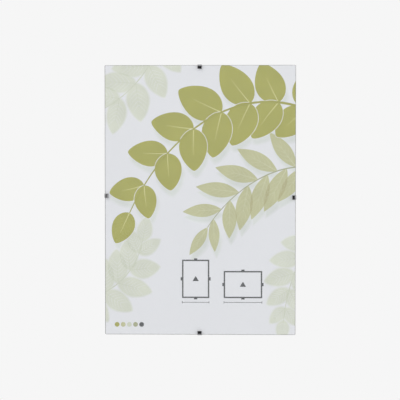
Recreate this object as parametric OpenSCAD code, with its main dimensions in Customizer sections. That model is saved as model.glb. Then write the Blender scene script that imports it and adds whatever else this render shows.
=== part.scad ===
// Clip frame: a glass pane, a printed insert and a hardboard back, held together by a spring
// clip at the middle of each edge. Millimetres. The front faces -Y and up is +Z.
// The origin is the middle of the top clip's hanging hole, halfway through its plate.

/* [Sheets] */
// Width of the glass, the insert and the board
sheet_w = 210; // [150:1:300]
// Height of the glass, the insert and the board
sheet_h = 297; // [180:1:420]

/* [Glass pane] */
// Thickness of the glass
glass_t = 2; // [1.5:0.5:4]
// Ground bevel along the edges of the glass, wide enough to lie in the bend of the hooks
glass_bevel = 0.4; // [0.3:0.1:0.6]
// Cut across each corner of the glass
glass_corner = 0.8; // [0.4:0.1:2]

/* [Printed insert] */
// Thickness of the insert
insert_t = 0.2; // [0.1:0.05:0.5]
// Border left free round the insert
insert_margin = 0.4; // [0:0.1:2]

/* [Back board] */
// Thickness of the hardboard
board_t = 3; // [3:0.5:6]
// Eased edge of the hardboard
board_ease = 0.3; // [0.1:0.1:0.6]
// Radius of the saw that plunges each clip's groove
saw_r = 75; // [60:5:125]
// Width of the groove
groove_w = 2; // [1.8:0.1:3]

/* [Clips] */
// Thickness of the spring steel
steel_t = 0.5; // [0.4:0.1:0.8]
// Inner radius of the sharp bends
bend_r = 0.8; // [0.5:0.1:0.8]
// Width of the hook and of the strip round the edge
hook_w = 4.5; // [4:0.5:7]
// How far the hook reaches over the glass
hook_reach = 4; // [3:0.1:5]
// Width of the spring plate behind the board
plate_w = 15; // [14:0.5:20]
// How far the clip reaches in from the edge
clip_reach = 26; // [25:0.5:40]
// Width of the prong in the groove
prong_w = 9; // [6:0.5:11]
// Depth of the prong in the board
prong_in = 1.4; // [1:0.1:1.8]

/* [Hanging holes] */
// Distance from the edge to the middle of the round hole
hole_in = 16; // [15:0.5:17]
// Radius of the round hole that takes a screw head
hole_r = 4; // [3.5:0.1:4.5]
// Width of the slot that takes the screw's neck
slot_w = 3.6; // [2.5:0.1:4]
// Length of the slot, from the round hole's middle to its own end's middle
slot_l = 6; // [5:0.5:7]

/* [Clip places] */
// Top clip, from the middle of its edge towards +X
top_shift = -0.6; // [-5:0.2:5]
// Bottom clip, from the middle of its edge towards +X
bottom_shift = -0.6; // [-5:0.2:5]
// Left clip, from the middle of its edge towards +Z
left_shift = 5; // [-5:0.2:5]
// Right clip, from the middle of its edge towards +Z
right_shift = 3.2; // [-5:0.2:5]

/* [Hidden] */
$fn = 64;

// Clearances: clip to edge, hook to glass, insert to board, insert to glass with its ink,
// prong to groove wall and floor, and plate to the board's corner as the clip swings open
edge_gap = 0.15;
hook_gap = 0.05;
lay_gap = 0.05;
ink_gap = 0.15;
prong_gap = 0.3;
floor_gap = 0.2;
swing_gap = 0.7;

// The plate stands off far enough for the corner of the sheets to pass as the clip swings open
stack_t = hook_gap + glass_t + ink_gap + insert_t + lay_gap + board_t;
standoff = norm([stack_t, hook_reach]) - stack_t + swing_gap;

// Faces of the sheets along Y, from the back to the front
board_back = -steel_t / 2 - standoff;
board_front = board_back - board_t;
insert_back = board_front - lay_gap;
glass_back = insert_back - insert_t - ink_gap;
glass_front = glass_back - glass_t;
hook_y = glass_front - hook_gap - steel_t / 2;

// Edges of the sheets, seen from the front
mid_x = -top_shift;
mid_z = hole_in - sheet_h / 2;
edge_mid = [
    [mid_x, 0, hole_in],
    [mid_x + sheet_w / 2, 0, mid_z],
    [mid_x, 0, hole_in - sheet_h],
    [mid_x - sheet_w / 2, 0, mid_z]
];
edge_turn = [0, 90, 180, -90];
clip_shift = [[top_shift, 0, 0], [0, 0, right_shift], [bottom_shift, 0, 0], [0, 0, left_shift]];
TOP = 0;
RIGHT = 1;
BOTTOM = 2;
LEFT = 3;

// Bent strip of a clip, as [outward, Y] points of its centre line from the hook to the prong
bend_mid = bend_r + steel_t / 2;
ramp_l = 4.5;
ramp_bend = 3;
web_out = edge_gap + steel_t / 2;
web_y = board_back + standoff / 2 + steel_t / 2;
heel_y = board_back + standoff / 2 + steel_t / 2;
tip_y = board_back - prong_in;
// The prong leans so that it leaves its groove along its own length
prong_lean = atan(stack_t / (clip_reach - hook_reach));
strip = [
    [-hook_reach, hook_y],
    [web_out, hook_y],
    [web_out, web_y],
    [-ramp_l, 0],
    [ramp_l - clip_reach, 0],
    [-clip_reach, heel_y],
    [-clip_reach - (heel_y - tip_y) * tan(prong_lean), tip_y]
];
strip_bends = [0, bend_mid, bend_mid, ramp_bend, ramp_bend, bend_mid, 0];

// Outline of a clip seen from behind, as [along the edge, outward] points of its right half
neck_l = hook_reach + 0.8;
flare_l = 4;
taper_l = 4.5;
outline_round = 1.2;
half_outline = [
    [hook_w / 2, 2],
    [hook_w / 2, -neck_l],
    [plate_w / 2, -neck_l - flare_l],
    [plate_w / 2, taper_l - clip_reach - 1],
    [prong_w / 2, -clip_reach],
    [prong_w / 2, -clip_reach - 2]
];

// The groove lies where the prong enters the board, and is deep enough at the prong's far corner
groove_out = -clip_reach - (heel_y - board_back) * tan(prong_lean)
    + steel_t / (2 * cos(prong_lean)) + prong_gap;
shift_max = max([for (s = clip_shift) norm(s)]);
groove_d = prong_in + floor_gap + sagitta(saw_r, shift_max + prong_w / 2);

function sagitta(r, x) = r - sqrt(r * r - x * x);
function unit(a) = a / norm(a);
function left_of(a) = [-a[1], a[0]];
function turned(a, t) = [a[0] * cos(t) - a[1] * sin(t), a[0] * sin(t) + a[1] * cos(t)];
function turn_between(a, b) = atan2(a[0] * b[1] - a[1] * b[0], a * b);

// Arc of radius r that rounds the corner q on the way from p to n, set off to the left by s
function rounded(p, q, n, r, s = 0, steps = 8) =
    let (
        a = unit(q - p),
        b = unit(n - q),
        t = turn_between(a, b),
        c = q + unit(b - a) * r / cos(t / 2)
    )
    [for (i = [0:steps]) c - left_of(turned(a, t * i / steps)) * (sign(t) * r - s)];

// One face of a bent strip, set off to the left of its centre line by s
function strip_face(p, r, s) =
    let (last = len(p) - 1)
    concat(
        [p[0] + left_of(unit(p[1] - p[0])) * s],
        [for (i = [1:last - 1]) each rounded(p[i - 1], p[i], p[i + 1], r[i], s)],
        [p[last] + left_of(unit(p[last] - p[last - 1])) * s]
    );

function reversed(p) = [for (i = [len(p) - 1:-1:0]) p[i]];
function mirrored(p) = [for (q = reversed(p)) [-q[0], q[1]]];

// Every corner of a closed outline rounded, except those on its two cut ends
function softened(p, r) =
    let (n = len(p), half = n / 2)
    [for (i = [0:n - 1]) each
        (i % half == 0 || i % half == half - 1)
            ? [p[i]]
            : rounded(p[i - 1], p[i], p[i + 1], r)];

// Draws its children at an edge: X along it, Z outward from it
module on_edge(i, shift = [0, 0, 0])
    translate(edge_mid[i] + shift) rotate([0, edge_turn[i], 0]) children();

module bevelled_square(x, y, c)
    polygon([
        [c, 0], [x - c, 0], [x, c], [x, y - c],
        [x - c, y], [c, y], [0, y - c], [0, c]
    ]);

// Upright sheet with its corners cut by c and all its edges bevelled by b, back face at y
module sheet(w, h, t, b, c, y)
    translate([mid_x - w / 2, y - t, mid_z - h / 2])
        intersection() {
            translate([0, t, 0]) rotate([90, 0, 0]) linear_extrude(t) bevelled_square(w, h, c);
            linear_extrude(h) bevelled_square(w, t, b);
            rotate([90, 0, 90]) linear_extrude(w) bevelled_square(t, h, b);
        }

module groove()
    translate([0, board_back + saw_r - groove_d, groove_out - groove_w])
        cylinder(r = saw_r, h = groove_w, $fn = 360);

module bent_strip()
    rotate([0, -90, 0])
        linear_extrude(plate_w, center = true)
            polygon(concat(
                strip_face(strip, strip_bends, steel_t / 2),
                reversed(strip_face(strip, strip_bends, -steel_t / 2))
            ));

module clip_outline()
    translate([0, standoff, 0]) rotate([90, 0, 0])
        linear_extrude(standoff + stack_t + standoff * 2)
            polygon(softened(concat(half_outline, mirrored(half_outline)), outline_round));

// Round hole for a screw head, with a slot outward from it for the screw's neck
module hanging_hole() {
    translate([0, 0, -hole_in]) rotate([90, 0, 0])
        cylinder(r = hole_r, h = standoff, center = true);
    translate([0, 0, -hole_in + slot_l]) rotate([90, 0, 0])
        cylinder(r = slot_w / 2, h = standoff, center = true);
    translate([0, 0, -hole_in + slot_l / 2]) cube([slot_w, standoff, slot_l], center = true);
}

module clip(i)
    color("#1d1d20") on_edge(i, clip_shift[i])
        difference() {
            intersection() {
                bent_strip();
                clip_outline();
            }
            hanging_hole();
        }

module glass_pane()
    color("#cfe3df", 0.45)
        sheet(sheet_w, sheet_h, glass_t, glass_bevel, glass_corner, glass_back);

module printed_insert()
    color("#e0e1e5")
        translate([mid_x, insert_back - insert_t / 2, mid_z])
            cube([sheet_w - 2 * insert_margin, insert_t, sheet_h - 2 * insert_margin], center = true);

module back_board()
    color("#7a5235")
        difference() {
            sheet(sheet_w, sheet_h, board_t, board_ease, board_ease, board_back);
            for (i = [TOP, RIGHT, BOTTOM, LEFT]) on_edge(i) groove();
        }

glass_pane();
printed_insert();
back_board();
clip(TOP);  // top_clip
clip(BOTTOM);  // bottom_clip
clip(LEFT);  // left_clip
clip(RIGHT);  // right_clip
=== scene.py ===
"""Finishes and print of a frameless clip frame, in a plain pale studio.

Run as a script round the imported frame. Everything is in metres and in the frame's own axes: the
picture faces -Y and up is +Z. The print is drawn in millimetres from the middle of its sheet.
"""
import math
import random

import bmesh
import bpy
from mathutils import Euler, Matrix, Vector
from mathutils.geometry import delaunay_2d_cdt


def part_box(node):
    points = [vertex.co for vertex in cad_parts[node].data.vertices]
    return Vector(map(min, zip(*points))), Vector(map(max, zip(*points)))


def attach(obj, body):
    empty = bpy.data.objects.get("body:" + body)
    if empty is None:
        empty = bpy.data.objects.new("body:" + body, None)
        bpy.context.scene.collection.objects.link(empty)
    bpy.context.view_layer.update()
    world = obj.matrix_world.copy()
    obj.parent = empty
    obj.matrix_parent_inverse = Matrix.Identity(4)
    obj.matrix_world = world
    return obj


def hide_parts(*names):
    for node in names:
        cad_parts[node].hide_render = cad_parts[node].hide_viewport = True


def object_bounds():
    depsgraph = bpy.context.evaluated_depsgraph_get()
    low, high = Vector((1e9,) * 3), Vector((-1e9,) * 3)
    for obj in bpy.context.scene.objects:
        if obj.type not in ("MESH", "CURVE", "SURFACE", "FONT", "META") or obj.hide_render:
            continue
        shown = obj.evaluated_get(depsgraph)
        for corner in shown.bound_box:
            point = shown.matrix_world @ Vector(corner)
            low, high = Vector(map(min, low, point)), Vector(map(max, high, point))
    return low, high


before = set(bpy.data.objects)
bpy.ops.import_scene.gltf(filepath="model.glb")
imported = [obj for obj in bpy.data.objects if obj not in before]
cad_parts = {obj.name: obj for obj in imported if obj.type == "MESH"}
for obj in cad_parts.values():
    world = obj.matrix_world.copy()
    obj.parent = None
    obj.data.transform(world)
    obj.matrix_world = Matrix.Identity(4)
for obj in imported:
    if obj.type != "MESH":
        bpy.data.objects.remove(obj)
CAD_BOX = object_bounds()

bl_info = {
    "name": "Clip Frame",
    "version": (1, 0, 0),
    "blender": (4, 5, 0),
    "location": "View3D > Sidebar > Clip Frame",
    "description": "Finishes, print and studio of a frameless clip frame",
    "category": "Object",
}

MM = 0.001

# The sheet that is printed on, and the sheets on both sides of it
SHEET_LOW, SHEET_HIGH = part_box("printed_insert")
GLASS_LOW, GLASS_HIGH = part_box("glass_pane")
BOARD_LOW, BOARD_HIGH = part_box("back_board")
SHEET_MID = (SHEET_LOW + SHEET_HIGH) / 2
PAPER_FACE = SHEET_LOW.y
HALF_W = (SHEET_HIGH.x - SHEET_LOW.x) / 2 / MM
HALF_H = (SHEET_HIGH.z - SHEET_LOW.z) / 2 / MM

# Millimetres that the inks stand off the paper, well inside the room left for them
SPRAY_INK = 0.05
MARK_INK = 0.09

# Each clip's edge: the axis along it, the axis and direction outward, how much painted sheen lies on
# the face of its hook, and the millimetres of the hook's tip that are rubbed
CLIPS = {
    "top_clip": ("X", "Z", 1, 0.0, 0.0),
    "bottom_clip": ("X", "Z", -1, 0.0, 0.0),
    "left_clip": ("Z", "X", -1, 0.17, 1.9),
    "right_clip": ("Z", "X", 1, 0.0, 0.9),
}
# Millimetres from the outer face of a clip's strip to the tip of its hook
HOOK_LENGTH = 4.65

# Millimetres to the right and upward from each leaf to its shadow
SHADOW_SHIFT = (2.2, -6.2)

# Each lamp's place from the middle of the frame, its side in metres and its power in watts
LAMPS = {
    "key_lamp": ((-1.1, -1.8, 1.1), 2.0, 14.4),
    "fill_lamp": ((1.4, -1.6, 0.5), 2.0, 9.6),
    "back_lamp": ((0.9, 1.8, 1.0), 1.8, 17),
}


def colour(code):
    """Scene-linear colour of a six-digit sRGB code."""
    parts = [int(code[i:i + 2], 16) / 255 for i in (0, 2, 4)]
    return tuple(c / 12.92 if c <= 0.04045 else ((c + 0.055) / 1.055) ** 2.4 for c in parts)


def lighter(tone, factor):
    """The colour with all its parts multiplied, so that its hue stays."""
    return tuple(min(1, part * factor) for part in tone)


def between(first, second, share):
    """The colour that lies that share of the way from the first to the second."""
    return tuple(a + (b - a) * share for a, b in zip(first, second))


def colour_setting(name, description, code):
    """A colour that the user can change."""
    return bpy.props.FloatVectorProperty(
        name=name, description=description, subtype="COLOR",
        size=3, min=0, max=1, default=colour(code),
    )


def length_setting(name, description, default, low, high):
    """A length that the user can change, in metres."""
    return bpy.props.FloatProperty(
        name=name, description=description, default=default, min=low, max=high,
        subtype="DISTANCE", unit="LENGTH", precision=4,
    )


class PrintSettings(bpy.types.PropertyGroup):
    """Inks and leaf sizes of the printed sheet."""

    paper: colour_setting("Paper", "Colour of the bare sheet", "E5E4EB")
    olive: colour_setting("Olive ink", "Colour of the large spray", "A4A24E")
    olive_stem: colour_setting("Olive stem ink", "Colour of the large spray's stem", "9C9A48")
    olive_vein: colour_setting("Olive vein ink", "Colour of the large spray's side veins", "B1AF62")
    olive_rib: colour_setting("Olive rib ink", "Colour of the large spray's midribs", "CFCD92")
    sage: colour_setting("Sage ink", "Colour of the slender spray", "BDBC94")
    sage_overlap: colour_setting("Sage overlap ink", "Colour where slender leaves cross", "B1AC82")
    sage_rib: colour_setting("Sage rib ink", "Colour of the slender spray's midribs", "CBCBAE")
    sage_stem: colour_setting("Sage stem ink", "Colour of the slender spray's stem", "A3A586")
    pale: colour_setting("Pale ink", "Colour of the faint sprays", "D4D6CA")
    pale_overlap: colour_setting("Pale overlap ink", "Colour where faint leaves cross", "CCCFC0")
    shadow: colour_setting("Shadow ink", "Colour of the shadows under the sprays", "D7D9D9")
    line: colour_setting("Line ink", "Colour of the size marks", "4A4C50")
    olive_leaf: length_setting("Olive leaf", "Longest leaf of the large spray", 0.052, 0.01, 0.08)
    sage_leaf: length_setting("Sage leaf", "Longest leaf of the slender spray", 0.053, 0.01, 0.08)


class FinishSettings(bpy.types.PropertyGroup):
    """Colours of the glass, the board and the clips."""

    glass: colour_setting("Glass", "Tint of the light that passes a face of the glass", "FEFFFE")
    # The short edges are the lit copy and the long edges the shaded copy of one ground edge colour:
    # painted light and shade
    lit_short_edge: colour_setting("Short edges", "Colour of the glass's ground top and bottom", "B8BBB7")
    shaded_long_edge: colour_setting("Long edges", "Colour of the glass's ground sides", "7E827D")
    board: colour_setting("Hardboard", "Colour of the pressed faces", "7C5638")
    board_cut: colour_setting("Cut hardboard", "Colour of sawn fibres", "A07A53")
    steel: colour_setting("Blackened steel", "Colour of the clips' black finish", "131315")
    # Bare steel where the finish is rubbed, also used for the clips' painted highlight and painted
    # sheen
    steel_for_wear_and_sheen: colour_setting("Worn steel", "Colour where the finish is rubbed thin", "D2D2D5")
    edge_round: length_setting(
        "Edge rounding", "Rounding of the clips' stamped edges", 0.00008, 0.00002, 0.0002
    )


class StudioSettings(bpy.types.PropertyGroup):
    """Camera, lights and floor."""

    backdrop: colour_setting("Backdrop", "Colour behind the frame", "F6F6F6")
    floor: colour_setting("Floor", "Colour of the floor", "E8E8E8")
    view_width: length_setting("View width", "Width that the camera takes in", 0.4402, 0.2, 2)
    camera_distance: length_setting("Camera distance", "From the glass to the camera", 1.6, 0.5, 10)
    floor_drop: length_setting("Floor drop", "From the lowest clip down to the floor", 0.15, 0.0, 1)
    floor_radius: length_setting("Floor radius", "Radius of the floor", 0.36, 0.1, 2)
    ambient: bpy.props.FloatProperty(
        name="Ambient light", description="Strength of the light from all round",
        default=0.67, min=0, max=2, subtype="FACTOR",
    )


SETTINGS = {
    "clip_frame_print": PrintSettings,
    "clip_frame_finish": FinishSettings,
    "clip_frame_studio": StudioSettings,
}


class Wire:
    """An output of a shader node. Operators on wires add Math nodes, and | takes the larger."""

    def __init__(self, nodes, socket):
        self.nodes = nodes
        self.socket = socket

    def __getitem__(self, output):
        return Wire(self.nodes, self.socket.node.outputs[output])

    def math(self, operation, *values):
        """The result of a Math node on those values."""
        return self.nodes.add("ShaderNodeMath", {"operation": operation}, dict(enumerate(values)))

    def __add__(self, other):
        return self.math("ADD", self, other)

    def __sub__(self, other):
        return self.math("SUBTRACT", self, other)

    def __rsub__(self, other):
        return self.math("SUBTRACT", other, self)

    def __mul__(self, other):
        return self.math("MULTIPLY", self, other)

    def __pow__(self, other):
        return self.math("POWER", self, other)

    def __lt__(self, other):
        return self.math("LESS_THAN", self, other)

    def __gt__(self, other):
        return self.math("GREATER_THAN", self, other)

    def __or__(self, other):
        return self.math("MAXIMUM", self, other)

    def __abs__(self):
        return self.math("ABSOLUTE", self)

    __radd__ = __add__
    __rmul__ = __mul__
    __ror__ = __or__


class Nodes:
    """A node tree that is written as expressions."""

    def __init__(self, tree):
        self.tree = tree
        tree.nodes.clear()

    def add(self, kind, settings=None, inputs=None, output=0):
        """Adds a node, sets it, fills its inputs with values or wires, and returns one output."""
        node = self.tree.nodes.new(kind)
        for name, value in (settings or {}).items():
            if name == "stops":
                self.set_stops(node.color_ramp, value)
            else:
                setattr(node, name, value)
        for name, value in (inputs or {}).items():
            if isinstance(value, Wire):
                self.tree.links.new(value.socket, node.inputs[name])
            elif node.inputs[name].type == "RGBA":
                node.inputs[name].default_value = (*value, 1)
            else:
                node.inputs[name].default_value = value
        return Wire(self, node.outputs[output]) if node.outputs else None

    def set_stops(self, ramp, stops):
        """Gives a ramp its (place, grey) stops, in their order."""
        while len(ramp.elements) < len(stops):
            ramp.elements.new(1)
        for element, (place, tone) in zip(ramp.elements, stops):
            element.position = place
            element.color = (tone, tone, tone, 1)

    def mix_shaders(self, factor, first, second):
        return self.add("ShaderNodeMixShader", inputs={0: factor, 1: first, 2: second})


class Finish(Nodes):
    """A material."""

    def __init__(self, name):
        self.material = bpy.data.materials.new(name)
        self.material.use_nodes = True
        super().__init__(self.material.node_tree)

    def place(self):
        """Place on the piece at rest, which moves with the piece."""
        return self.add("ShaderNodeTexCoord", output="Object")

    def facing(self):
        """The surface's own direction, as X, Y and Z outputs."""
        return self.split(self.add("ShaderNodeTexCoord", output="Normal"))

    def split(self, vector):
        """The parts of a vector, as X, Y and Z outputs."""
        return self.add("ShaderNodeSeparateXYZ", inputs={0: vector})

    def noise(self, feature, detail=2.0, roughness=0.5, stretch=(1, 1, 1)):
        """Noise from 0 to 1 whose features are that long, in metres, drawn out by stretch."""
        scaled = self.add(
            "ShaderNodeVectorMath", {"operation": "DIVIDE"}, {0: self.place(), 1: stretch}
        )
        return self.add("ShaderNodeTexNoise", inputs={
            "Vector": scaled, "Scale": 1 / feature, "Detail": detail, "Roughness": roughness,
        })

    def ramp(self, value, *stops):
        """The value turned into another number by (place, number) stops."""
        return self.add("ShaderNodeValToRGB", {"stops": stops}, {"Fac": value})

    def blend(self, factor, first, second):
        """Colour from the first at factor 0 to the second at factor 1."""
        return self.add(
            "ShaderNodeMix", {"data_type": "RGBA"}, {0: factor, 6: first, 7: second}, output=2
        )

    def bump(self, height, depth, strength=1.0):
        """Normal of a surface whose relief goes from 0 to depth, in metres."""
        return self.add(
            "ShaderNodeBump", inputs={"Height": height, "Distance": depth, "Strength": strength}
        )

    def principled(self, inputs):
        return self.add("ShaderNodeBsdfPrincipled", inputs=inputs)

    def done(self, shader):
        """Puts the shader on the surface and returns the material."""
        self.add("ShaderNodeOutputMaterial", inputs={"Surface": shader})
        return self.material


def glass_finish(look):
    """Clear float glass with matt ground edges that carry painted shade. Light for the print passes it
    straight.
    """
    f = Finish("float_glass")
    film = f.noise(0.045, detail=4)
    clear = f.principled({
        "Base Color": look.glass, "Roughness": f.ramp(film, (0.45, 0.0), (0.8, 0.03)),
        "Transmission Weight": 1, "IOR": 1.5,
    })

    # The two long edges are painted darker than the short ones as painted shade, and all carry a
    # little soil in patches.
    # The lower part of the left edge is darkened most, as painted shade, up to these shares of its
    # height
    shade_full_below, shade_gone_above = 0.28, 0.46
    facing, place = f.facing(), f.split(f.place())
    grinding = f.noise(0.0004, detail=3)
    height_share = (place["Z"] - GLASS_LOW.z) * (1 / (GLASS_HIGH.z - GLASS_LOW.z))
    on_left = place["X"] < GLASS_LOW.x + MM
    # Painted shade on the left edge: full below the first share of its height, gone above the second
    left_painted_shade = 0.6 * f.ramp(height_share, (shade_full_below, 1.0), (shade_gone_above, 0.0)) * on_left
    # Painted shade on the lower left, together with soil in patches all round
    shade_and_soil = left_painted_shade | 0.3 * f.noise(0.06, detail=2)
    # Painted shade: the long sides take the darker shaded colour, the short ones the lit colour
    ground = f.blend(abs(facing["X"]) > 0.6, look.lit_short_edge, look.shaded_long_edge)
    ground = f.blend(0.2 * grinding, ground, lighter(look.lit_short_edge, 0.4))
    edge = f.principled({
        "Base Color": f.blend(shade_and_soil, ground, lighter(look.shaded_long_edge, 0.4)),
        "Roughness": 0.42 + 0.25 * grinding,
        "Normal": f.bump(grinding, 0.00003), "Transmission Weight": 0.35, "IOR": 1.5,
    })
    pane = f.mix_shaders(abs(facing["Y"]) < 0.95, clear, edge)
    open_to_light = f.add("ShaderNodeBsdfTransparent", inputs={"Color": look.glass})
    ray = f.add("ShaderNodeLightPath")
    return f.done(f.mix_shaders(ray["Is Shadow Ray"] | ray["Is Diffuse Ray"], pane, open_to_light))


def paper_finish(ink):
    """Satin art paper with a faint cloudiness and fine fibres."""
    f = Finish("satin_paper")
    cloud = f.noise(0.07, detail=3)
    fibre = f.noise(0.0005, detail=3, stretch=(2.5, 1, 1))
    tone = f.blend(cloud, lighter(ink.paper, 0.985), lighter(ink.paper, 1.012))
    return f.done(f.principled({
        "Base Color": f.blend(0.06 * fibre, tone, lighter(ink.paper, 0.8)),
        "Roughness": 0.5 + 0.12 * fibre, "Normal": f.bump(fibre, 0.000012, 0.4),
        "Specular IOR Level": 0.3,
    }))


def ink_finish(name, tone):
    """Offset ink: its printed dots, and a slow drift in how much of it was laid down."""
    dot_pitch = 0.00018
    f = Finish(name)
    drift = f.noise(0.018, detail=3)
    dots = f.add(
        "ShaderNodeTexVoronoi", {"feature": "F1"},
        {"Vector": f.place(), "Scale": 1 / dot_pitch, "Randomness": 0.15},
    )
    laid = f.blend(
        f.ramp(drift, (0.3, 0.0), (0.7, 1.0)), lighter(tone, 0.95), lighter(tone, 1.04)
    )
    bare = 0.1 * f.ramp(dots, (0.35, 0.0), (0.6, 1.0))
    return f.done(f.principled({
        "Base Color": f.blend(bare, laid, lighter(tone, 1.4)),
        "Roughness": 0.42 + 0.1 * drift, "Specular IOR Level": 0.3,
    }))


def board_finish(look):
    """Hardboard: smooth brown front, screen-pressed back, lighter fibres where it's sawn."""
    f = Finish("pressed_hardboard")
    cloud = f.noise(0.035, detail=4)
    fibre = f.noise(0.0011, detail=5, roughness=0.65)
    pale_chip = f.ramp(f.noise(0.0017, detail=2, stretch=(1, 1, 2)), (0.6, 0.0), (0.7, 1.0))
    dark_chip = f.ramp(f.noise(0.0024, detail=2, stretch=(2, 1, 1)), (0.6, 0.0), (0.72, 1.0))
    pressed = f.blend(fibre, lighter(look.board, 0.68), lighter(look.board, 1.3))
    pressed = f.blend(0.45 * cloud, pressed, lighter(look.board, 0.66))
    pressed = f.blend(0.4 * pale_chip, pressed, lighter(look.board, 1.9))
    pressed = f.blend(0.4 * dark_chip, pressed, lighter(look.board, 0.4))

    # The back bears the print of a woven screen
    screen_pitch = 0.0014
    place = f.split(f.place())
    turns = 2 * math.pi / screen_pitch
    warp = f.add("ShaderNodeMath", {"operation": "SINE"}, {0: place["X"] * turns})
    weft = f.add("ShaderNodeMath", {"operation": "SINE"}, {0: place["Z"] * turns})
    back = f.facing()["Y"] > 0.9
    screen = f.ramp(abs(warp * weft), (0.0, 0.0), (0.5, 1.0)) * back
    pressed = f.blend(0.3 * (back - screen), pressed, lighter(look.board, 0.5))

    # Sawn fibres show on the outer edges and in the grooves, deeper than the two pressed skins
    skin = 0.1 * MM
    deep = (place["Y"] > BOARD_LOW.y + skin) * (place["Y"] < BOARD_HIGH.y - skin)
    grain = f.noise(0.0006, detail=4, stretch=(3, 1, 3))
    sawn = f.blend(grain, lighter(look.board_cut, 0.6), lighter(look.board_cut, 1.25))
    return f.done(f.principled({
        "Base Color": f.blend(deep, pressed, sawn),
        "Roughness": 0.48 + 0.22 * fibre + 0.2 * deep,
        "Normal": f.bump(fibre * 0.25 + screen * 0.75 + deep * grain, 0.00012, 0.6),
        "Specular IOR Level": 0.35,
    }))


def steel_finish(node, look):
    """Blackened spring steel, rubbed bright on bends, heel, cuts and side hooks' tips, with a painted
    highlight on the bends and painted sheen on the left hook's face.
    """
    f = Finish("blackened_steel_" + node)
    along, outward, direction, painted_face_sheen, rubbed_tip = CLIPS[node]
    low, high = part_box(node)
    ends = (getattr(low, outward.lower()), getattr(high, outward.lower()))
    length = (ends[1] - ends[0]) / MM
    depth = (high.y - low.y) / MM
    place = f.split(f.place())
    inward = direction * (ends[direction > 0] - place[outward]) * (1 / MM / length)
    backward = (place["Y"] - low.y) * (1 / MM / depth)

    def by_reach(*stops):
        """A number set by the millimetres inward from the clip's outer end."""
        return f.ramp(inward, *((reach / length, number) for reach, number in stops))

    def by_depth(*stops):
        """A number set by the millimetres backward from the clip's front."""
        return f.ramp(backward, *((reach / depth, number) for reach, number in stops))

    # The bright places: both bends at the edge, which rub and also carry a painted highlight, the heel
    # and the cuts, which rub, and the face of the hook, with painted sheen and a rubbed tip
    # Bends: real wear, set bright enough to serve as a painted highlight too
    bends = by_reach((0.5, 1.0), (2.2, 0.0))
    bends = bends * by_depth((1.1, 1.0), (1.9, 0.0), (depth - 2.6, 0.0), (depth - 1.6, 0.8))
    heel = by_reach((length - 1.6, 0.0), (length - 0.8, 1.0))
    facing = f.facing()
    cuts = f.ramp(abs(facing[along]), (0.35, 0.0), (0.8, 1.0))
    from_behind = f.ramp(facing["Y"], (0.0, 0.0), (0.2, 1.0))
    hook_depth = 0.8
    hook = (1 - from_behind) * (backward < hook_depth / depth)
    tip_start = HOOK_LENGTH - rubbed_tip
    tip = by_reach((tip_start, 0.0), (tip_start + 0.5, 1.0))

    # The rubbing comes in patches, and fine scuffs run inward from the edge
    patches = f.ramp(f.noise(0.0012, detail=4), (0.4, 0.0), (0.62, 1.0))
    drawn = {"X": (0.12, 1, 1), "Z": (1, 1, 0.12)}[along]
    scuffs = f.ramp(f.noise(0.004, detail=6, roughness=0.7, stretch=drawn), (0.6, 0.0), (0.75, 1.0))
    # Real wear together with painted light: the bends' painted highlight and the hook face's painted
    # sheen take the bare steel colour
    wear_and_sheen = bends * (0.4 + 0.35 * patches) | (0.35 * cuts | 0.4 * heel) * patches
    wear_and_sheen = wear_and_sheen | 0.16 * scuffs | hook * (painted_face_sheen | 0.42 * tip) * (0.85 + 0.3 * patches)
    bloom = f.noise(0.006, detail=3)
    dark = f.blend(bloom, lighter(look.steel, 0.75), lighter(look.steel, 1.4))
    return f.done(f.principled({
        "Base Color": f.blend(wear_and_sheen, dark, look.steel_for_wear_and_sheen),
        "Metallic": wear_and_sheen, "Roughness": 0.36 + 0.2 * bloom - 0.1 * wear_and_sheen,
        "Normal": f.bump(f.noise(0.00025, detail=2), 0.000008, 0.5),
        "Specular IOR Level": 0.12,
    }))


def floor_finish(studio):
    """Pale matt floor that fades out towards its rim."""
    f = Finish("studio_floor")
    place = f.split(f.place())
    squared = place["X"] ** 2 + place["Y"] ** 2
    from_middle = f.add("ShaderNodeMath", {"operation": "SQRT"}, {0: squared})
    speckle = f.noise(0.012, detail=4)
    rim = f.ramp(from_middle * (1 / studio.floor_radius), (0.6, 0.0), (0.97, 1.0))
    return f.done(f.principled({
        "Base Color": f.blend(speckle, lighter(studio.floor, 0.98), lighter(studio.floor, 1.02)),
        "Roughness": 0.7 + 0.1 * speckle, "Alpha": 1 - rim, "Specular IOR Level": 0.2,
    }))


def put_on(node, material):
    """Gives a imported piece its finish."""
    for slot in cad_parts[node].material_slots:
        slot.material = material


def new_object(name, data):
    """A new object in the scene that shows the mesh, lamp or camera given."""
    thing = bpy.data.objects.new(name, data)
    bpy.context.scene.collection.objects.link(thing)
    return thing


def sharp_clip(node):
    """A copy of a packed clip with its doubled points and flat faces joined, ready for rounding."""
    same_point = 0.001 * MM
    flat = math.radians(1)
    mesh = bpy.data.meshes.new(node + "_pressing")
    clean = bmesh.new()
    clean.from_mesh(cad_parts[node].data)
    bmesh.ops.remove_doubles(clean, verts=clean.verts, dist=same_point)
    bmesh.ops.dissolve_limit(clean, angle_limit=flat, verts=clean.verts, edges=clean.edges)
    corners = [v.co for v in clean.verts]
    faces = [[v.index for v in face.verts] for face in clean.faces]
    mesh.from_pydata(corners, [], faces)
    clean.free()
    mesh.shade_smooth()
    return mesh


def round_edges(piece, width):
    """Rounds the stamped edges. The bends, in steps of about 11 degrees, are left alone."""
    bevel = piece.modifiers.new("stamped_edges", "BEVEL")
    bevel.width = width
    bevel.segments = 3
    bevel.limit_method = "ANGLE"
    bevel.angle_limit = math.radians(40)
    bevel.harden_normals = True


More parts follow.
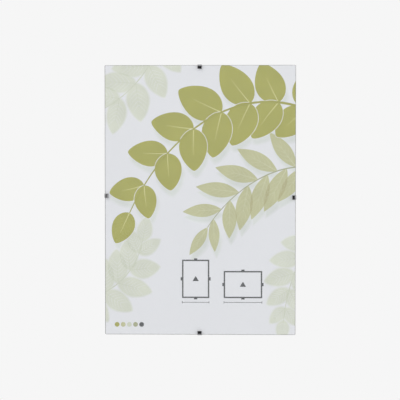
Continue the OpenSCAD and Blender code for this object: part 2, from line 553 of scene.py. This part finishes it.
def on_curve(path, t):
    """Point and heading at t on a cubic curve given by its four control points."""
    a, b, c, d = (Vector(p) for p in path)
    s = 1 - t
    point = s ** 3 * a + 3 * s * s * t * b + 3 * s * t * t * c + t ** 3 * d
    heading = 3 * s * s * (b - a) + 6 * s * t * (c - b) + 3 * t * t * (d - c)
    return point, math.atan2(heading.y, heading.x)


def turned(heading):
    """Unit vector along a heading, and the one to its left."""
    along = Vector((math.cos(heading), math.sin(heading)))
    return along, Vector((-along.y, along.x))


def leaf_side(leaf, t):
    """Half width of a leaf at t from its base to its tip."""
    return leaf["width"] / 2 * math.sin(math.pi * t ** leaf["lean"]) ** leaf["swell"]


def on_midrib(leaf, t):
    """Point at t along a leaf's midrib, from its base to its tip."""
    along, left = turned(leaf["heading"])
    return leaf["base"] + along * leaf["length"] * t + left * leaf["bow"] * math.sin(math.pi * t)


def leaf_outline(leaf, grow=0.0, steps=16):
    """Closed outline of a leaf, anticlockwise from its base, larger all round by grow."""
    along, left = turned(leaf["heading"])
    leaf = {
        **leaf, "base": leaf["base"] - along * grow,
        "length": leaf["length"] + 2 * grow, "width": leaf["width"] + 2 * grow,
    }
    places = [0.5 - 0.5 * math.cos(math.pi * i / steps) for i in range(steps + 1)]
    right_side = [on_midrib(leaf, t) - left * leaf_side(leaf, t) for t in places]
    left_side = [on_midrib(leaf, t) + left * leaf_side(leaf, t) for t in places[-2:0:-1]]
    return right_side + left_side


def strip(points, widths):
    """Outline of a line through points with a width at each."""
    left_side, right_side = [], []
    for i, (point, width) in enumerate(zip(points, widths)):
        before, after = points[max(i - 1, 0)], points[min(i + 1, len(points) - 1)]
        along = (after - before).normalized()
        left = Vector((-along.y, along.x)) * width / 2
        left_side.append(point + left)
        right_side.append(point - left)
    return right_side + left_side[::-1]


def stem_outline(spray, steps=28):
    """Outline of a spray's stem, which thins out towards its tip."""
    points = [on_curve(spray["path"], i / steps)[0] for i in range(steps + 1)]
    thick, thin = spray["stem"]
    return strip(points, [thick + (thin - thick) * i / steps for i in range(steps + 1)])


def rib_outline(leaf, reach, width, steps=6):
    """Outline of a leaf's midrib, which thins out as it reaches that far along the leaf."""
    thinning = 0.85
    places = [reach * i / steps for i in range(steps + 1)]
    widths = [width * (1 - thinning * t / reach) for t in places]
    return strip([on_midrib(leaf, t) for t in places], widths)


def vein_outlines(leaf, width, pairs=5, steps=5):
    """Outlines of a leaf's side veins, that wide at the midrib, which bend towards its tip."""
    first, span = 0.16, 0.52
    forward, sideways = 0.2, 0.78
    bend, thinning = 0.24, 0.55
    lines = []
    for i in range(pairs):
        t = first + span * i / pairs
        start, ahead = on_midrib(leaf, t), on_midrib(leaf, t + forward)
        for side in (-1, 1):
            left = turned(leaf["heading"])[1] * side
            end = ahead + left * leaf_side(leaf, t + forward) * sideways
            pull = (start + end) / 2 + (start - ahead) * bend
            shares = [step / steps for step in range(steps + 1)]
            points = [(1 - s) ** 2 * start + 2 * s * (1 - s) * pull + s * s * end for s in shares]
            lines.append(strip(points, [width * (1 - thinning * s) for s in shares]))
    return lines


def leaf_size(t):
    """Size of the leaves at t along a spray: 1 for the largest, a little before its middle."""
    smallest, growth = 0.58, 0.42
    first, span = 0.22, 0.74
    return smallest + growth * math.sin(math.pi * (first + span * t))


def spray_leaves(spray, chance):
    """All leaves of a spray, each a dictionary of its place and shape."""
    leaves = []
    for i in range(spray["nodes"]):
        t = spray["first"] + (spray["last"] - spray["first"]) * i / (spray["nodes"] - 1)
        size = leaf_size(t)
        point, heading = on_curve(spray["path"], t)
        for side in (-1, 1) if spray["paired"] else ((-1) ** i,):
            spread = math.radians(spray["spread"] * (1 - spray["close"] * t) + chance.uniform(-5, 5))
            leaves.append({
                "base": point, "heading": heading + side * spread,
                "length": spray["length"] * size * chance.uniform(0.93, 1.05),
                "width": spray["width"] * size * chance.uniform(0.94, 1.06),
                "bow": -side * spray["bow"] * size,
                "lean": spray["lean"], "swell": spray["swell"],
            })
    point, heading = on_curve(spray["path"], 1)
    return leaves + [{**leaves[-1], "base": point, "heading": heading, "bow": 0}]


def moved(outline, shift):
    """The outline moved by a shift."""
    return [point + Vector(shift) for point in outline]


def clipped(outline, window):
    """The part of an outline inside a convex anticlockwise window."""
    kept = outline
    for a, b in zip(window, window[1:] + window[:1]):
        points, kept = kept, []
        for p, q in zip(points, points[1:] + points[:1]):
            p_in, q_in = (b - a).cross(p - a), (b - a).cross(q - a)
            if p_in >= 0:
                kept.append(p)
            if (p_in >= 0) != (q_in >= 0):
                kept.append(p + (q - p) * p_in / (p_in - q_in))
    return kept


def on_sheet(plan):
    """The plan cut off at the sheet's edges."""
    window = box_outline(-HALF_W, -HALF_H, 2 * HALF_W, 2 * HALF_H)
    cut = [(clipped(outline, window), ink) for outline, ink in plan]
    return [(outline, ink) for outline, ink in cut if len(outline) > 2]


def ink_cells(plan, overlaps):
    """The plan's (outline, ink) shapes, each over those before it, as cells that don't overlap.

    Returns the corners, and the cells of each ink. Where two shapes of an ink lie over each
    other, the cell takes the ink that overlaps name for it."""
    corners, rings = [], []
    for outline, ink in plan:
        rings.append(list(range(len(corners), len(corners) + len(outline))))
        corners += outline
    valid_faces = 4
    same_point = 1e-4
    corners, _, cells, _, _, covers = delaunay_2d_cdt(corners, [], rings, valid_faces, same_point)
    cells_of = {}
    for cell, cover in zip(cells, covers):
        if not cover:
            continue
        inks = [plan[i][1] for i in sorted(cover)]
        doubled = inks.count(inks[-1]) > 1
        ink = overlaps.get(inks[-1], inks[-1]) if doubled else inks[-1]
        cells_of.setdefault(ink, []).append(cell)
    return corners, cells_of


def ink_mesh(name, corners, cells, height):
    """Cells of one ink as a thin closed layer on the paper."""
    used = sorted({i for cell in cells for i in cell})
    number = {i: n for n, i in enumerate(used)}
    cells = [[number[i] for i in cell] for cell in cells]
    points = [
        (SHEET_MID.x + corners[i].x * MM, y, SHEET_MID.z + corners[i].y * MM)
        for y in (PAPER_FACE - height * MM, PAPER_FACE) for i in used
    ]
    count = len(used)
    sides = {(a, b) for cell in cells for a, b in zip(cell, cell[1:] + cell[:1])}
    walls = [[b, a, a + count, b + count] for a, b in sorted(sides) if (b, a) not in sides]
    backs = [[i + count for i in reversed(cell)] for cell in cells]
    mesh = bpy.data.meshes.new(name)
    mesh.from_pydata(points, [], cells + backs + walls)
    return mesh


def print_inks(plan, height, tones, overlaps):
    """Prints the plan in those tones, one piece for each ink, named after it."""
    corners, cells_of = ink_cells(on_sheet(plan), overlaps)
    for ink in sorted(cells_of):
        piece = new_object(ink, ink_mesh(ink, corners, cells_of[ink], height))
        piece.data.materials.append(ink_finish(ink + "_ink", tones[ink]))
        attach(piece, "sheets")


# A spray is drawn in millimetres. Its path is a curve from its foot to its tip, and its nodes,
# from first to last along that, bear a pair of leaves or a single one. The leaves spread from
# the stem by so many degrees, less towards the tip as they close, and bow by so much. Lean and
# swell shape their outline, and stem gives the stem's width at its foot and at its tip.
def olive_spray(ink):
    """Large round-leaved spray that hangs in from the upper right."""
    return {
        "path": ((128, 94), (62, 132), (-28, 94), (-78, -14)), "first": 0.06, "last": 0.9,
        "nodes": 7, "paired": True, "length": ink.olive_leaf / MM,
        "width": ink.olive_leaf / MM * 0.68, "spread": 70, "close": 0.45, "bow": 1.0,
        "lean": 0.8, "swell": 0.66, "stem": (2.8, 1.0),
    }


def sage_spray(ink):
    """Slender spray with single leaves that comes in low from the right."""
    return {
        "path": ((122, 36), (86, 42), (38, 16), (8, -30)), "first": 0.06, "last": 0.93,
        "nodes": 11, "paired": False, "length": ink.sage_leaf / MM,
        "width": ink.sage_leaf / MM * 0.34, "spread": 56, "close": 0.3, "bow": 0,
        "lean": 0.9, "swell": 0.9, "stem": (1.5, 0.7),
    }


def pale_sprays():
    """Faint sprays in the corners that the other two leave free."""
    common = {
        "first": 0.06, "last": 0.88, "nodes": 5, "paired": True, "spread": 66, "close": 0.45,
        "bow": 0, "lean": 0.82, "swell": 0.7, "stem": (1.5, 0.7),
    }
    places = {
        ((-44, 176), (-54, 140), (-86, 106), (-122, 94)): (42, 24),
        ((-128, -110), (-100, -104), (-72, -84), (-64, -46)): (38, 22),
        ((120, -44), (108, -68), (96, -94), (92, -132)): (33, 19),
    }
    return [{**common, "path": path, "length": l, "width": w} for path, (l, w) in places.items()]


def spray_plan(ink):
    """All sprays and their soft shadows, from the lowest ink to the highest, and the inks' colours."""
    chance = random.Random(7)
    pale = pale_sprays()
    pale_leaves = [leaf for spray in pale for leaf in spray_leaves(spray, chance)]
    sage, olive = sage_spray(ink), olive_spray(ink)
    sage_leaves, olive_leaves = spray_leaves(sage, chance), spray_leaves(olive, chance)
    plan = []
    tones = {
        "pale_leaves": ink.pale, "pale_crossings": ink.pale_overlap,
        "pale_veins": between(ink.paper, ink.pale, 0.4),
        "sage_leaves": ink.sage, "sage_crossings": ink.sage_overlap,
        "sage_ribs": ink.sage_rib, "sage_stem": ink.sage_stem,
        "olive_rims": ink.paper, "olive_leaves": ink.olive, "olive_veins": ink.olive_vein,
        "olive_ribs": ink.olive_rib, "olive_stem": ink.olive_stem,
    }

    # The shadows' soft edges are steps that darken inward, and so are those of the faint leaves
    for step, grow in enumerate((2.2, 1.0, -0.2, -1.4), 1):
        name = f"shadow_step_{step}"
        tones[name] = between(ink.paper, ink.shadow, step / 4)
        for leaf in olive_leaves + sage_leaves:
            plan.append((moved(leaf_outline(leaf, grow), SHADOW_SHIFT), name))
    for step, grow in enumerate((1.5, 0.75, 0.0), 1):
        name = f"pale_edge_{step}"
        tones[name] = between(ink.paper, ink.pale, step / 4)
        plan += [(leaf_outline(leaf, grow), name) for leaf in pale_leaves]
    plan += [(leaf_outline(leaf, -0.75), "pale_leaves") for leaf in pale_leaves]
    for leaf in pale_leaves:
        plan += [(vein, "pale_veins") for vein in vein_outlines(leaf, 0.5)]
    plan += [(rib_outline(leaf, 0.7, 0.8), "pale_crossings") for leaf in pale_leaves]
    plan += [(stem_outline(spray), "pale_crossings") for spray in pale]

    # The slender spray lies over those, and the large one over all
    plan += [(leaf_outline(leaf), "sage_leaves") for leaf in sage_leaves]
    for leaf in sage_leaves:
        plan += [(vein, "sage_ribs") for vein in vein_outlines(leaf, 0.4, pairs=4)]
        plan.append((rib_outline(leaf, 0.8, 0.8), "sage_ribs"))
    plan.append((stem_outline(sage), "sage_stem"))
    for leaf in olive_leaves:
        plan += [(leaf_outline(leaf, 0.55), "olive_rims"), (leaf_outline(leaf), "olive_leaves")]
        plan += [(vein, "olive_veins") for vein in vein_outlines(leaf, 0.34)]
        plan.append((rib_outline(leaf, 0.66, 1.1), "olive_ribs"))
    plan.append((stem_outline(olive), "olive_stem"))
    return plan, tones


def box_outline(x, z, w, h):
    """Rectangle with its lowest corner at x, z."""
    return [Vector(p) for p in ((x, z), (x + w, z), (x + w, z + h), (x, z + h))]


def middle_box(x, z, w, h):
    """Rectangle round its middle at x, z."""
    return box_outline(x - w / 2, z - h / 2, w, h)


def frame_mark(x, z, w, h):
    """A plain outline of a frame with its four clips, an upward mark, and a dimension line."""
    line = 1.5
    clip_width, clip_reach = 3.6, 1.5
    gap, thin, tick = 5.0, 0.5, 2.4
    upward = ((-3.4, -2.4), (3.4, -2.4), (0, 3.2))
    middle = z + h / 2
    ends = (x + thin / 2, x + w - thin / 2)
    return [
        box_outline(x, z, w, line), box_outline(x, z + h - line, w, line),
        box_outline(x, z + line, line, h - 2 * line),
        box_outline(x + w - line, z + line, line, h - 2 * line),
        middle_box(x + w / 2, z - clip_reach / 2, clip_width, clip_reach),
        middle_box(x + w / 2, z + h + clip_reach / 2, clip_width, clip_reach),
        middle_box(x - clip_reach / 2, middle, clip_reach, clip_width),
        middle_box(x + w + clip_reach / 2, middle, clip_reach, clip_width),
        [Vector((x + w / 2 + dx, middle + dz)) for dx, dz in upward],
        box_outline(x, z - gap, w, thin),
        *(middle_box(end, z - gap + thin / 2, thin, tick) for end in ends),
    ]


def disc_outline(x, z, radius, steps=32):
    """Circle round its middle at x, z."""
    return [Vector((x, z)) + turned(2 * math.pi * i / steps)[0] * radius for i in range(steps)]


class CLIP_FRAME_OT_glass(bpy.types.Operator):
    """Finish the glass pane with its ground edges"""

    bl_idname = "clip_frame.glass"
    bl_label = "Glass pane"

    def execute(self, context):
        put_on("glass_pane", glass_finish(context.scene.clip_frame_finish))
        return {"FINISHED"}


class CLIP_FRAME_OT_sheet(bpy.types.Operator):
    """Finish the bare sheet that is printed on"""

    bl_idname = "clip_frame.sheet"
    bl_label = "Paper sheet"

    def execute(self, context):
        put_on("printed_insert", paper_finish(context.scene.clip_frame_print))
        return {"FINISHED"}


class CLIP_FRAME_OT_board(bpy.types.Operator):
    """Finish the hardboard back and its saw grooves"""

    bl_idname = "clip_frame.board"
    bl_label = "Back board"

    def execute(self, context):
        put_on("back_board", board_finish(context.scene.clip_frame_finish))
        return {"FINISHED"}


class CLIP_FRAME_OT_clips(bpy.types.Operator):
    """Make the four spring clips with rounded stamped edges"""

    bl_idname = "clip_frame.clips"
    bl_label = "Spring clips"

    def execute(self, context):
        look = context.scene.clip_frame_finish
        for node in CLIPS:
            piece = new_object(node + "_pressing", sharp_clip(node))
            piece.data.materials.append(steel_finish(node, look))
            round_edges(piece, look.edge_round)
            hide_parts(node)
            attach(piece, node)
        return {"FINISHED"}


class CLIP_FRAME_OT_sprays(bpy.types.Operator):
    """Print the leaf sprays and their soft shadows"""

    bl_idname = "clip_frame.sprays"
    bl_label = "Leaf sprays"

    def execute(self, context):
        plan, tones = spray_plan(context.scene.clip_frame_print)
        overlaps = {"pale_leaves": "pale_crossings", "sage_leaves": "sage_crossings"}
        print_inks(plan, SPRAY_INK, tones, overlaps)
        return {"FINISHED"}


class CLIP_FRAME_OT_marks(bpy.types.Operator):
    """Print the two size marks and the row of ink dots"""

    bl_idname = "clip_frame.marks"
    bl_label = "Size marks and ink dots"

    def execute(self, context):
        ink = context.scene.clip_frame_print
        long_side, short_side = 42.4, 30
        upright_left, lying_left, foot = -20, 26, -108
        marks = frame_mark(upright_left, foot, short_side, long_side)
        marks += frame_mark(lying_left, foot, long_side, short_side)
        plan = [(outline, "size_marks") for outline in marks]
        tones = {"size_marks": ink.line}

        dot_tones = (ink.olive, ink.sage, ink.pale_overlap, ink.sage_stem, ink.line)
        first_x, dot_z = -92, -137.5
        dot_spacing, dot_radius = 6.8, 2.6
        for i, tone in enumerate(dot_tones):
            name = f"ink_dot_{i + 1}"
            tones[name] = tone
            plan.append((disc_outline(first_x + dot_spacing * i, dot_z, dot_radius), name))
        print_inks(plan, MARK_INK, tones, overlaps={})
        return {"FINISHED"}


def add_lamp(name, place, size, power, target):
    """Square lamp at a place from its target, turned towards it."""
    lamp = bpy.data.lights.new(name, "AREA")
    lamp.shape = "SQUARE"
    lamp.size = size
    lamp.energy = power
    light = new_object(name, lamp)
    light.location = target + Vector(place)
    light.rotation_euler = (-Vector(place)).to_track_quat("-Z", "Y").to_euler()


def add_camera(studio):
    """Camera a little to the right of and above the middle, as in the photograph."""
    yaw, pitch, roll = math.radians(1.77), math.radians(-2.26), math.radians(0.12)
    target = Vector((0.00044, GLASS_LOW.y, -0.13211))
    camera = new_object("camera", bpy.data.cameras.new("camera"))
    camera.rotation_euler = Euler((math.radians(90) + pitch, -roll, yaw), "YXZ")
    camera.rotation_mode = "YXZ"
    turn = camera.rotation_euler.to_matrix()
    camera.location = target + turn @ Vector((0, 0, studio.camera_distance))
    camera.data.lens = camera.data.sensor_width * studio.camera_distance / studio.view_width
    camera.data.clip_start = 0.05
    bpy.context.scene.camera = camera


def add_world(studio):
    """Even ambient light, with the backdrop's own colour where it is seen or mirrored."""
    world = bpy.data.worlds.new("studio")
    world.use_nodes = True
    bpy.context.scene.world = world
    sky = Nodes(world.node_tree)
    ray = sky.add("ShaderNodeLightPath")
    seen = ray["Is Camera Ray"] | ray["Is Glossy Ray"] | ray["Is Transmission Ray"]
    light = sky.add("ShaderNodeBackground", inputs={"Color": (1, 1, 1), "Strength": studio.ambient})
    backdrop = sky.add("ShaderNodeBackground", inputs={"Color": studio.backdrop, "Strength": 1})
    sky.add("ShaderNodeOutputWorld", inputs={"Surface": sky.mix_shaders(seen, light, backdrop)})


def floor_mesh(radius, steps=96):
    """Round disc for the floor."""
    mesh = bpy.data.meshes.new("floor")
    disc = bmesh.new()
    bmesh.ops.create_circle(disc, cap_ends=True, segments=steps, radius=radius)
    disc.to_mesh(mesh)
    disc.free()
    return mesh


class CLIP_FRAME_OT_studio(bpy.types.Operator):
    """Set the floor, the lights, the surroundings and the camera"""

    bl_idname = "clip_frame.studio"
    bl_label = "Studio"

    def execute(self, context):
        studio = context.scene.clip_frame_studio
        middle = (CAD_BOX[0] + CAD_BOX[1]) / 2
        floor = new_object("floor", floor_mesh(studio.floor_radius))
        floor.location = (middle.x, middle.y, CAD_BOX[0].z - studio.floor_drop)
        floor.data.materials.append(floor_finish(studio))
        for name, (place, size, power) in LAMPS.items():
            add_lamp(name, place, size, power, middle)
        add_world(studio)
        add_camera(studio)
        context.scene.view_settings.view_transform = "Standard"
        return {"FINISHED"}


OPERATORS = (
    CLIP_FRAME_OT_glass,
    CLIP_FRAME_OT_sheet,
    CLIP_FRAME_OT_board,
    CLIP_FRAME_OT_clips,
    CLIP_FRAME_OT_sprays,
    CLIP_FRAME_OT_marks,
    CLIP_FRAME_OT_studio,
)


class CLIP_FRAME_PT_build(bpy.types.Panel):
    """Settings and steps of the clip frame"""

    bl_label = "Clip Frame"
    bl_idname = "CLIP_FRAME_PT_build"
    bl_space_type = "VIEW_3D"
    bl_region_type = "UI"
    bl_category = "Clip Frame"

    def draw(self, context):
        for name, group in SETTINGS.items():
            box = self.layout.box()
            for setting in group.__annotations__:
                box.prop(getattr(context.scene, name), setting)
        for operator in OPERATORS:
            self.layout.operator(operator.bl_idname)


CLASSES = (*SETTINGS.values(), *OPERATORS, CLIP_FRAME_PT_build)


def register():
    for cls in CLASSES:
        bpy.utils.register_class(cls)
    for name, group in SETTINGS.items():
        setattr(bpy.types.Scene, name, bpy.props.PointerProperty(type=group))


def unregister():
    for name in SETTINGS:
        delattr(bpy.types.Scene, name)
    for cls in reversed(CLASSES):
        bpy.utils.unregister_class(cls)


def main():
    register()
    bpy.ops.clip_frame.glass()
    bpy.ops.clip_frame.sheet()
    bpy.ops.clip_frame.board()
    bpy.ops.clip_frame.clips()
    bpy.ops.clip_frame.sprays()
    bpy.ops.clip_frame.marks()
    bpy.ops.clip_frame.studio()


if __name__ == "__main__":
    main()
